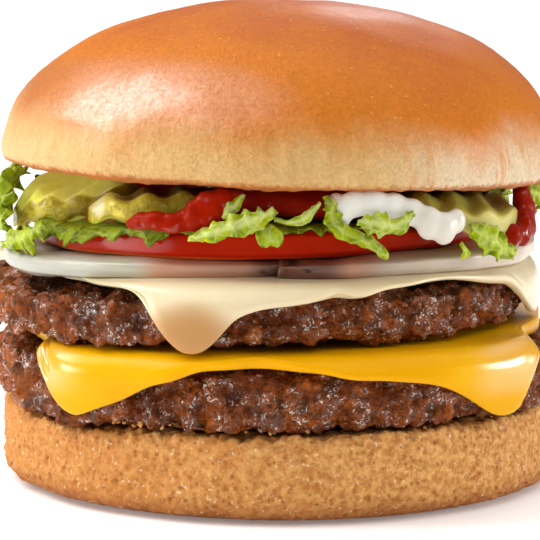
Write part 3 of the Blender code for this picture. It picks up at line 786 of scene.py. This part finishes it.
tomato_slice = copy_of("tomato", "tomato_slice")
subdivide(tomato_slice, 3, angle=30, hold=0.6)
roughen(tomato_slice, 14, 0.8, middle=0.3)
skin = Recipe("tomato skin", moist(0.15, (1, 0.2, 0.1), 2, 0.14, (1, 0.15, 0.05, 1), 0.1))
x, y, z = skin.axes()
blush = skin.noise(9, detail=3)
colour = skin.blend(blush, (158, 20, 4), (200, 42, 8))
cut = 1 - skin.rise(z + (blush - 0.5) * 0.8, 46.3, 46.9)
colour = skin.blend(cut * 0.7, colour, (214, 104, 44))
shine = 1 - skin.rise(oval(x, z, SHINE_AT, SHINE_SIZE) + (blush - 0.5) * 0.8, 0.3, 1.3)
dimples = skin.noise(1.2, detail=2)
tomato_skin = skin.serve(colour, 0.20 + blush * 0.1, dimples, depth=0.03, coat=0.03 + shine * 0.8)
serve_piece(tomato_slice, tomato_skin, "tomato", "tomato")

# %% [markdown]
# ## The bed of the filling
#
# Lettuce, pickles and sauce all lie on the tomato, so they share its top as their bed. The
# formulas that shaped the solids give its height at any place, and a smooth curve through stations
# says where a shred goes. A station is an azimuth from the front, a radius and a height, followed
# by the sizes there.

# %% Heights and paths
TOMATO_AXIS = (-4.2, -4.0)
TOMATO_TOP, TOMATO_RIM = 51.2, 42.6
TOMATO_TOP_SWELLS = ((-72, 34, -2.2), (2, 28, 0.8), (150, 50, 0.5))
GAP = 0.35


def spot(azimuth, radius, height=0.0):
    """The point at an azimuth and radius from the burger's axis."""
    turn = math.radians(azimuth)
    return Vector((radius * math.sin(turn), -radius * math.cos(turn), height))


def bed(x, y):
    """The tomato's top."""
    across, deep = x - TOMATO_AXIS[0], y - TOMATO_AXIS[1]
    azimuth = math.degrees(math.atan2(across, -deep))
    swell = 0.0
    for centre, width, amount in TOMATO_TOP_SWELLS:
        away = (azimuth - centre + 180) % 360 - 180
        swell += amount * hump(away, 0, width)
    return TOMATO_TOP - 0.01 * x + climb(math.hypot(across, deep), 20, 43) * (swell - 0.4)


def past_tomato(x, y, full):
    """0 on the tomato, and 1 at a full radius outside its rim."""
    return climb(math.hypot(x - TOMATO_AXIS[0], y - TOMATO_AXIS[1]), TOMATO_RIM, full)


def hump(value, centre, width):
    """A smooth hump of height 1."""
    return math.exp(-(((value - centre) / width) ** 2))


def smooth_path(stations, count):
    """Evenly shared points on a smooth curve through stations of any length."""
    padded = [stations[0], *stations, stations[-1]]
    made = []
    for number in range(count):
        position = number / (count - 1) * (len(stations) - 1)
        index = min(int(position), len(stations) - 2)
        t = position - index
        group = padded[index : index + 4]
        made.append([
            b + 0.5 * t * (c - a + t * (2 * a - 5 * b + 4 * c - d + t * (3 * b - a - 3 * c + d)))
            for a, b, c, d in zip(*group)
        ])
    return made


def wander(*place):
    """A smooth noise from about -1 to 1 at up to three numbers."""
    return noise.noise(Vector((*place, 0.0, 0.0)[:3]))


print("bed at the tomato's middle and front rim:", round(bed(*TOMATO_AXIS), 2), round(bed(-4.2, -46), 2))

# %% [markdown]
# ## The lettuce
#
# One torn leaf lies on the tomato and narrow shreds of another hang over its edge. Lettuce is thin
# and never flat: it is cupped along its rib, blistered between the veins and frilled at its border.
# Such a sheet starts as a grid. Each of its corners is put on the shred's path with a
# frill that grows towards the border, then the sheet gets its thickness and is subdivided. How far a
# corner is from the rib is kept as an attribute, for the paler colour there.

# %% Mix the greens
def green(name, dark, light, rib, ribbed):
    """A lettuce finish: its dark and light green, and the colour and strength of its rib."""
    leaf = Recipe(name, moist(0.25, (0.6, 1, 0.1), 1, 0.2, (0.7, 0.9, 0.2, 1), 0.14))
    border = leaf.node("ShaderNodeAttribute", {"attribute_name": "border"}, None, "Fac")
    blister = leaf.noise(2.6, detail=3, warp=0.8)
    veins = leaf.cells(2.4, "DISTANCE_TO_EDGE")
    line = 1 - leaf.rise(veins, 0.02, 0.14)
    tone = leaf.blend(leaf.rise(blister, 0.32, 0.68), dark, light)
    tone = leaf.blend(line * 0.35, tone, rib)
    middle = (1 - leaf.rise(border + (blister - 0.5) * 0.5, 0.10, 0.55)) * ribbed
    tone = leaf.blend(middle, tone, rib)
    return leaf.serve(tone, 0.32 + blister * 0.2, blister + line * 0.3, depth=0.25, coat=blister * 0.25)


bright_green = green("bright lettuce", (104, 124, 0), (170, 184, 10), (206, 214, 120), 0.3)
deep_green = green("deep lettuce", (70, 84, 2), (128, 142, 14), (168, 176, 60), 0.1)
pale_green = green("pale lettuce", (116, 134, 0), (170, 182, 18), (214, 220, 144), 0.55)

# %% Sheets from grids
def sheet_of(name, along, across, place, thickness, levels):
    """A thin sheet, laid where place(u, v) says: u goes from 0 to 1 along, v from -1 to 1 across."""
    bpy.ops.object.select_all(action="DESELECT")
    bpy.ops.mesh.primitive_grid_add(x_subdivisions=along, y_subdivisions=across, size=2)
    sheet = bpy.context.object
    sheet.name = name
    border = sheet.data.attributes.new("border", "FLOAT", "POINT")
    for corner, mark in zip(sheet.data.vertices, border.data):
        u, v = (corner.co.x + 1) / 2, corner.co.y
        mark.value = abs(v)
        corner.co = place(u, v) * MM
    edit_all(sheet)
    bpy.ops.mesh.remove_doubles(threshold=0.01 * MM)
    bpy.ops.object.mode_set(mode="OBJECT")
    apply(sheet, "SOLIDIFY", thickness=thickness * MM, offset=0.0)
    if levels:
        subdivide(sheet, levels)
    edit_all(sheet)
    bpy.ops.mesh.normals_make_consistent(inside=False)
    bpy.ops.object.mode_set(mode="OBJECT")
    return sheet


LEAF_INNER, LEAF_RADIUS = 36, 43.4


def leaf_place(u, v):
    """The torn leaf: flat on the tomato, then frilled and falling past its rim, or standing there."""
    azimuth = 360 * u
    turned = (azimuth + 180) % 360 - 180
    circle = spot(azimuth, 9.0)
    tooth = wander(circle.x * 0.9, circle.y * 0.9, 4.0)
    tooth += 0.6 * wander(circle.x * 2.6, circle.y * 2.6, 9.0)
    reach = LEAF_RADIUS + 1.6 * hump(turned, -52, 30) + 1.2 * hump(turned, 62, 14)
    reach += 3.0 * hump(abs(turned), 165, 50) + 1.7 * tooth - 1.4 * hump(turned, -104, 20)
    out = (v + 1) / 2
    at = spot(azimuth, LEAF_INNER + (reach - LEAF_INNER) * out)
    x, y = at.x + TOMATO_AXIS[0], at.y + TOMATO_AXIS[1]
    frill = 0.9 * wander(circle.x * 1.3, circle.y * 1.3, 2.0)
    frill = out**3 * (frill + 0.35 * wander(circle.x * 4, circle.y * 4, 6.0))
    fall = past_tomato(x, y, 46.4) * (3.6 + 1.0 * math.sin(math.radians(11 * azimuth + 20)))
    stand = hump(turned, -102, 27) + hump(turned, 78, 24)
    rise = stand * out**1.5 * (6.2 + 1.6 * tooth)
    return Vector((x, y, bed(x, y) + GAP + 0.35 + frill - fall * (1 - stand) + rise))


leaf = sheet_of("torn_leaf", 560, 16, leaf_place, 0.45, 0)
serve_piece(leaf, deep_green, "lettuce", "lettuce_leaf")

# %% [markdown]
# Each shred follows stations of azimuth, radius, height, half width and lean, where a lean of 0
# faces outwards and 90 faces up.

# %% Lay the shreds
def shred_place(stations, frill, seed, steps):
    """Where the corners of a shred lie, for sheet_of."""
    path = smooth_path(stations, steps + 1)
    centres = [spot(*station[:3]) for station in path]
    length = sum((b - a).length for a, b in zip(centres, centres[1:]))

    def place(u, v):
        number = round(u * steps)
        before, after = centres[max(0, number - 1)], centres[min(steps, number + 1)]
        travel = (after - before).normalized()
        azimuth, _, _, half_width, lean = path[number]
        face = spot(azimuth, math.cos(math.radians(lean)), math.sin(math.radians(lean)))
        across = travel.cross(face).normalized()
        face = across.cross(travel).normalized()
        run = u * length
        side = math.copysign(1.0, v)
        teeth = abs(wander(run / 2.6, side * 3 + seed, 1.0))
        torn = 1.25 - 1.0 * teeth**0.8 + 0.22 * wander(run / 0.9, side * 5 + seed, 2.0)
        taper = math.sin(math.pi * (0.04 + 0.92 * u)) ** 0.4
        swing = math.sin(math.tau * run / 3.4 + side * 1.2 + 3.0 * wander(run / 4.0, seed, 3.0))
        lift = 1.3 * frill * abs(v) ** 1.6 * swing + 0.5 * frill * wander(run / 1.2, v * 2.0, seed)
        cup = -0.35 * half_width * (v * v - 0.3)
        return centres[number] + across * (v * half_width * torn * taper) + face * (lift + cup)

    return place


SHREDS = (
    (0.9, bright_green, (
        (-91, 51.2, 57, 2.8, 20), (-85, 53, 56.5, 4.4, 10), (-79, 55, 54.4, 5.2, 5),
        (-73.5, 55.8, 51.4, 4.2, 0), (-70, 55.6, 49.4, 2, 0),
    )),
    (0.7, bright_green, (
        (-57, 52.6, 50.6, 1.6, 20), (-60, 54, 48.9, 3, 10), (-66, 54.8, 47.2, 2.2, 5),
        (-74, 55.2, 45.6, 1, 0),
    )),
    (0.5, pale_green, (
        (-19, 52.4, 50.6, 0.9, 0), (-14.5, 53, 51.7, 1.5, 5), (-9.5, 53.2, 53.3, 1.9, 10),
        (-5, 52.8, 54.7, 1.8, 15), (-2, 51.6, 55.6, 0.9, 20),
    )),
    (0.25, pale_green, (
        (-8.6, 50.2, 58.3, 0.5, 0), (-9.6, 51, 57, 0.7, 0), (-11, 51.6, 55.6, 1.1, 0),
        (-12.4, 51.8, 54.3, 0.5, 0),
    )),
    (0.5, bright_green, (
        (-5.6, 50.2, 53, 1.6, 10), (-4, 50.9, 51.9, 2.4, 5), (-2.2, 51.2, 50.4, 1.6, 0),
        (-1.6, 51.2, 49.4, 0.6, 0),
    )),
    (0.15, pale_green, (
        (-2.4, 50, 53.9, 0.5, 0), (0.6, 51, 53.6, 0.5, 0), (3.2, 51.6, 54.2, 0.8, 0),
        (5, 51.4, 55.7, 0.6, 0), (6.6, 50.8, 57, 0.4, 0),
    )),
    (0.45, bright_green, (
        (7.9, 49.6, 58, 0.8, 0), (8.8, 50.6, 56.2, 1.4, 0), (9.2, 51.2, 54.2, 1.5, 0),
        (10.4, 52.2, 52.3, 1.2, 5), (13.8, 52.8, 50.8, 1.1, 10), (17, 53, 49.5, 1.3, 5),
        (19.4, 53, 47.2, 0.8, 0),
    )),
    (0.5, pale_green, (
        (13.2, 54, 53.8, 1.1, 20), (16.2, 54.6, 53.5, 2.1, 15), (19.6, 54.6, 53, 1.9, 15),
        (22.4, 54.2, 53.8, 1.2, 10), (24.4, 53.8, 55, 0.9, 0),
    )),
    (0.25, bright_green, (
        (33.6, 55.6, 49.4, 0.6, 0), (34.2, 55.7, 48.2, 0.6, 0), (34.8, 55.6, 46.8, 1.1, 0),
    )),
    (0.6, bright_green, (
        (38.4, 53, 51.4, 1.8, 10), (41.6, 53.6, 49.8, 2.3, 10), (45, 54.2, 47.8, 2.4, 5),
        (49, 54.6, 46.4, 1.6, 5),
    )),
    (0.8, bright_green, (
        (61, 49.6, 55.8, 1.4, 20), (66, 50, 55.8, 2.6, 20), (70, 50.6, 55.4, 3, 20),
        (74, 52, 54.6, 3.2, 10), (79, 53, 52.4, 3.2, 5), (83, 53.2, 50.4, 1.4, 0),
    )),
    (0.8, bright_green, (
        (108, 46, 54.6, 2, 20), (116, 49, 53.4, 3.2, 10), (126, 50, 51.2, 2.6, 5),
        (132, 50, 50, 1.2, 0),
    )),
    (0.8, bright_green, ((172, 44, 55, 2, 20), (181, 47.5, 53, 3, 10), (190, 48.5, 51, 1.8, 5))),
)
SHRED_STEPS = 72
for number, (frill, look, stations) in enumerate(SHREDS, 1):
    place = shred_place(stations, frill, number * 7.3, SHRED_STEPS)
    shred = sheet_of(f"crisp_shred_{number}", SHRED_STEPS, 14, place, 0.4, 1)
    serve_piece(shred, look, "lettuce", f"lettuce_shred_{number}")

# %% [markdown]
# ## The pickle chips
#
# Gherkins are cut with a waved blade, so both faces of a chip ripple together and its edge comes out
# scalloped. A ball is pressed into a chip: each of its corners is drawn out to a rounded box shape,
# with plenty of faces round the rim. Then the chip is laid on the bed and rippled. The
# nearness of the rim is kept as an attribute, because the olive skin with its small warts begins
# there and the flesh inside is a clear yellow green.

# %% Press the chips
CHIP_REST = 0.7 + 2 * GAP + 0.55 + 2.1
BOXY = 5.0


def press_chip(name, centre, radius, half, lift, fall, turn, length, crest=0.6, start=0.0, tilt=0.0):
    """A crinkle cut chip, laid on the leaf and bent where it reaches past the tomato.

    Half is half its thickness. Its ripples have a turn, a length, a crest and a start, and a tilt
    lowers its back.
    """
    bpy.ops.object.select_all(action="DESELECT")
    bpy.ops.mesh.primitive_uv_sphere_add(segments=144, ring_count=60, radius=1)
    chip = bpy.context.object
    chip.name = name
    rind = chip.data.attributes.new("rind", "FLOAT", "POINT")
    wave = spot(turn + 90, math.tau / length)
    for corner, mark in zip(chip.data.vertices, rind.data):
        ball = corner.co
        share, level = math.hypot(ball.x, ball.y), ball.z
        pressed = (share**BOXY + abs(level) ** BOXY) ** (-1 / BOXY)
        across = Vector((ball.x, ball.y, 0)) * pressed
        at = across * (radius + 0.25 * math.sin(3 * math.atan2(ball.y, ball.x)))
        mark.value = climb(across.length, 0.93, 0.985)
        x, y = at.x + centre[0], at.y + centre[1]
        rest = bed(x, y) + CHIP_REST + lift - fall * past_tomato(x, y, 50)
        crinkle = crest * math.sin(at.x * wave.x + at.y * wave.y + start)
        warp = 0.35 * wander(x / 7, y / 7, radius)
        lean = -tilt * (at.y + radius) / (2 * radius)
        corner.co = Vector((x, y, rest + crinkle + warp + lean + level * pressed * half)) * MM
    roughen(chip, 2.2, 0.3)
    return chip


# Painted highlights: one on the left end of a chip, one on the rim of the left chip.
PALE_SKIN_AT, PALE_SKIN_SIZE = (-34.0, 55.2), (1.9, 2.6)
PALE_SPOT_AT, PALE_SPOT_SIZE = (-40.0, 55.4), (1.6, 2.2)

# The emission lets the flesh glow a little: painted light, with its colour set further down.
gherkin = Recipe(
    "pickled gherkin",
    moist(0.5, (0.9, 1, 0.2), 3, 0.3, (1, 0.85, 0.3, 1), 0.12, **{"Emission Strength": 0.3}),
)
rind = gherkin.node("ShaderNodeAttribute", {"attribute_name": "rind"}, None, "Fac")
flesh_noise = gherkin.noise(2.5, detail=3)
speck = gherkin.noise(0.55, detail=2, rough=0.6)
patch = gherkin.rise(gherkin.noise(5, detail=2), 0.40, 0.62)
flesh = gherkin.blend(flesh_noise, (214, 216, 52), (240, 242, 134))
mottle = gherkin.rise(flesh_noise + (speck - 0.5) * 0.4, 0.36, 0.64)
olive = gherkin.blend(mottle, (164, 144, 32), (212, 194, 66))
x, y, z = gherkin.axes()
olive = gherkin.blend(patch * gherkin.rise(x, -30, -22) * 0.7, olive, (104, 74, 14))
olive = gherkin.blend(gherkin.rise(flesh_noise, 0.58, 0.72) * 0.45, olive, (188, 182, 120))
# Painted shade: the flesh of the chips back under the front of the crown is darkened.
deep_inside = gherkin.rise(x, -34, -28) * gherkin.rise(y, -42, -38)
flesh = gherkin.blend(deep_inside * (0.85 - gherkin.rise(x, 0, 10) * 0.5), flesh, (84, 52, 16))
olive = gherkin.blend(gherkin.rise(x, 12, 26) * 0.75, olive, (206, 198, 126))
colour = gherkin.blend(rind, flesh, olive)
# Painted highlights, blended into the colour.
pale_skin = oval(x, z, PALE_SKIN_AT, PALE_SKIN_SIZE) + flesh_noise * 0.8
colour = gherkin.blend((1 - gherkin.rise(pale_skin, 0.5, 1.5)) * 0.75, colour, (226, 220, 188))
pale_spot = oval(x, z, PALE_SPOT_AT, PALE_SPOT_SIZE) + flesh_noise * 0.8
colour = gherkin.blend((1 - gherkin.rise(pale_spot, 0.5, 1.5)) * 0.55, colour, (214, 208, 160))
wart = 1 - gherkin.rise(gherkin.cells(1.3), 0.08, 0.3)
# Painted light: flesh at the far left, mostly of the left chip, glows to lift it out of the crown's
# shade.
thin = (1 - rind) * (1 - gherkin.rise(x, -34, -26))
lit_through = gherkin.blend(thin, (0, 0, 0), flesh)
feed(gherkin.tree, gherkin.shader.inputs["Emission Color"], lit_through)
relief = speck * 0.6 + wart + flesh_noise
pickled = gherkin.serve(colour, 0.26 + speck * 0.16, relief, depth=0.14, coat=0.3)

CHIPS = {
    1: ((-38.6, -7.4), 13.3, 2.7, -0.5, 5.2, -30, 5.2, 0.55, 0.0, -2.0),
    2: ((-23.3, -28.8), 12.8, 2.3, 0.3, 2.0, 4, 6.5, 0.6, 3.8, 1.6),
    3: ((28.8, -25.4), 14.2, 2.3, 0.0, 2.4, 6, 5.8, 0.55, 1.0, 0.8),
    4: ((23.5, 30.0), 14.2, 2.1, 0.0, 2.0, 30, 5.0),
    5: ((-23.5, 28.5), 13.6, 2.1, 0.4, 2.0, -20, 5.0),
}
for number, sizes in CHIPS.items():
    chip = press_chip(f"pickle_chip_{number}", *sizes)
    serve_piece(chip, pickled, "pickle", f"pickle_{number}")

# %% [markdown]
# ## The sauces
#
# Ketchup and mayonnaise were squeezed on and pressed out by the crown, so they bulge in round and
# shining lobes. Balls are set along the run of the sauce and remeshed into one body, and
# smoothing lets them flow into one another.

# %% Squeeze the sauces
def squeeze_copy(node, name):
    """The broad pool under the crown, rounded off."""
    sauce = copy_of(node, name)
    subdivide(sauce, 2, angle=35, hold=0.3)
    remesh(sauce, 0.6, smoothing=3)
    roughen(sauce, 6, 0.8)
    return sauce


def squeeze_out(name, balls, smoothing=22, unevenness=0.6):
    """Balls that flow together: azimuth, radius, height, and half the width, height and depth."""
    made = []
    for azimuth, radius, height, wide, high, deep in balls:
        bpy.ops.object.select_all(action="DESELECT")
        bpy.ops.mesh.primitive_uv_sphere_add(segments=24, ring_count=14, radius=MM)
        ball = bpy.context.object
        ball.scale = (wide, deep, high)
        ball.rotation_euler.z = math.radians(azimuth)
        ball.location = spot(azimuth, radius, height) * MM
        made.append(ball)
    sauce = join(made, name)
    remesh(sauce, 0.32, smoothing=smoothing)
    roughen(sauce, 3.2, unevenness)
    return sauce


red = Recipe("ketchup", moist(0.1, (1, 0.1, 0.05), 1.5, 0.12, (1, 0.3, 0.05, 1), 0.06))
pulp = red.noise(1.4, detail=3)
x, y, z = red.axes()
colour = red.blend(red.noise(5, detail=2), (130, 16, 3), (158, 26, 4))
# Painted shade: the sauce deep in the recess behind the front rim is darkened.
deep_inside = red.rise(y, -47.5, -45.5) * red.rise(x, -20, -14)
colour = red.blend(deep_inside * 0.2, colour, (84, 14, 6))
glaze = red.rise(red.noise(2.2, detail=1), 0.54, 0.64)
ketchup = red.serve(colour, 0.28 + pulp * 0.12, pulp, depth=0.05, coat=0.02 + glaze * 0.8)

cream = Recipe("mayonnaise", moist(0.3, (1, 0.85, 0.6), 2, 0.4, coat=0.15))
smear = cream.noise(4, detail=3)
x, y, z = cream.axes()
colour = cream.blend(smear, (238, 234, 222), (252, 250, 244))
# Painted shade: the right lobe is a darker copy of the cream.
colour = cream.blend(cream.rise(x, 17, 25) * 0.9, colour, (214, 207, 192))
mayonnaise = cream.serve(colour, 0.26 + smear * 0.1, smear, depth=0.08, coat=0.3)

KETCHUP_LOBES = (
    (-31.8, 51.6, 52.6, 1.6, 1.1, 1.1), (-29.4, 51.7, 53.2, 2.4, 1.8, 1.4),
    (-26.4, 51.9, 53.4, 2.9, 2, 1.6), (-23, 51.6, 53, 2.8, 1.9, 1.5),
    (-20.4, 51, 53.6, 2, 2.2, 1.4), (-18.2, 51.1, 54.4, 2.4, 3, 1.8),
    (-15.6, 50.9, 55.6, 2.9, 3.5, 1.9), (-12.9, 50.1, 56.8, 2.4, 2.7, 1.6),
    (-10.4, 49.2, 57.4, 1.9, 1.7, 1.2),
)
KETCHUP_SIDE = (
    (49.5, 51.8, 48.4, 1.6, 1.3, 1.1), (52, 52.3, 49.2, 2.2, 2.2, 1.6),
    (55, 52.5, 49, 2.3, 2.2, 1.6), (57, 52.4, 50.6, 2.6, 3, 1.7),
    (58.4, 51.4, 52.6, 2.8, 3.4, 1.8), (59.6, 50.4, 54.6, 2.6, 3.1, 1.6),
    (61, 49.6, 56.2, 2.2, 2.2, 1.4),
)
MAYONNAISE_RUN = (
    (10.2, 49, 56.6, 1.8, 2.2, 1.2), (11.6, 50.2, 54.9, 1.5, 2.6, 1.2),
    (13.8, 50, 56.6, 2.8, 2.6, 1.5), (17.6, 50.4, 56.6, 3.2, 2.6, 1.6),
    (21.6, 50.8, 56.1, 3, 2.5, 1.6), (25.2, 51.6, 54.9, 2.7, 2.7, 1.6),
    (28.4, 52.6, 53, 2.7, 3.2, 1.8), (31.6, 53, 51.9, 2.6, 3.1, 1.9),
    (34.6, 52.8, 53, 2, 2.4, 1.6),
)
serve_piece(squeeze_copy("ketchup", "ketchup_pool"), ketchup, "ketchup", "ketchup")
serve_piece(squeeze_out("ketchup_lobes", KETCHUP_LOBES), ketchup, "ketchup", "ketchup_front")
serve_piece(squeeze_out("ketchup_side", KETCHUP_SIDE, 16, 0.8), ketchup, "ketchup", "ketchup_right")
run = squeeze_out("mayonnaise_run", MAYONNAISE_RUN, 30, 0.25)
serve_piece(run, mayonnaise, "mayonnaise", "mayonnaise")

# %% [markdown]
# ## Crumbs
#
# Where the heel's cut edge was toasted it sheds crumbs, and they catch on the ledge under the beef.
# One rough little ball is modelled, copied with other sizes and turns, and all copies are joined.

# %% Scatter the crumbs
CRUMBS = 54
SMALLEST, LARGEST = 0.2, 0.52
chance = random.Random(11)
bpy.ops.object.select_all(action="DESELECT")
bpy.ops.mesh.primitive_ico_sphere_add(subdivisions=2, radius=MM)
pattern = bpy.context.object
for corner in pattern.data.vertices:
    corner.co *= 1 + 0.45 * wander(*(corner.co / MM * 1.3))
scattered = []
for _ in range(CRUMBS):
    bit = pattern.copy()
    bit.data = pattern.data.copy()
    bpy.context.collection.objects.link(bit)
    size = chance.uniform(SMALLEST, LARGEST)
    bit.scale = (size * chance.uniform(0.8, 1.5), size, size * chance.uniform(0.6, 1.0))
    bit.rotation_euler = [chance.uniform(0, math.tau) for _ in range(3)]
    azimuth, radius = chance.uniform(-100, 260), chance.uniform(51.6, 53.0)
    bit.location = spot(azimuth, radius, chance.uniform(16.4, 17.2)) * MM
    scattered.append(bit)
bpy.data.objects.remove(pattern)
serve_piece(join(scattered, "bread_crumbs"), toasted_crumb, "toasted_bread")
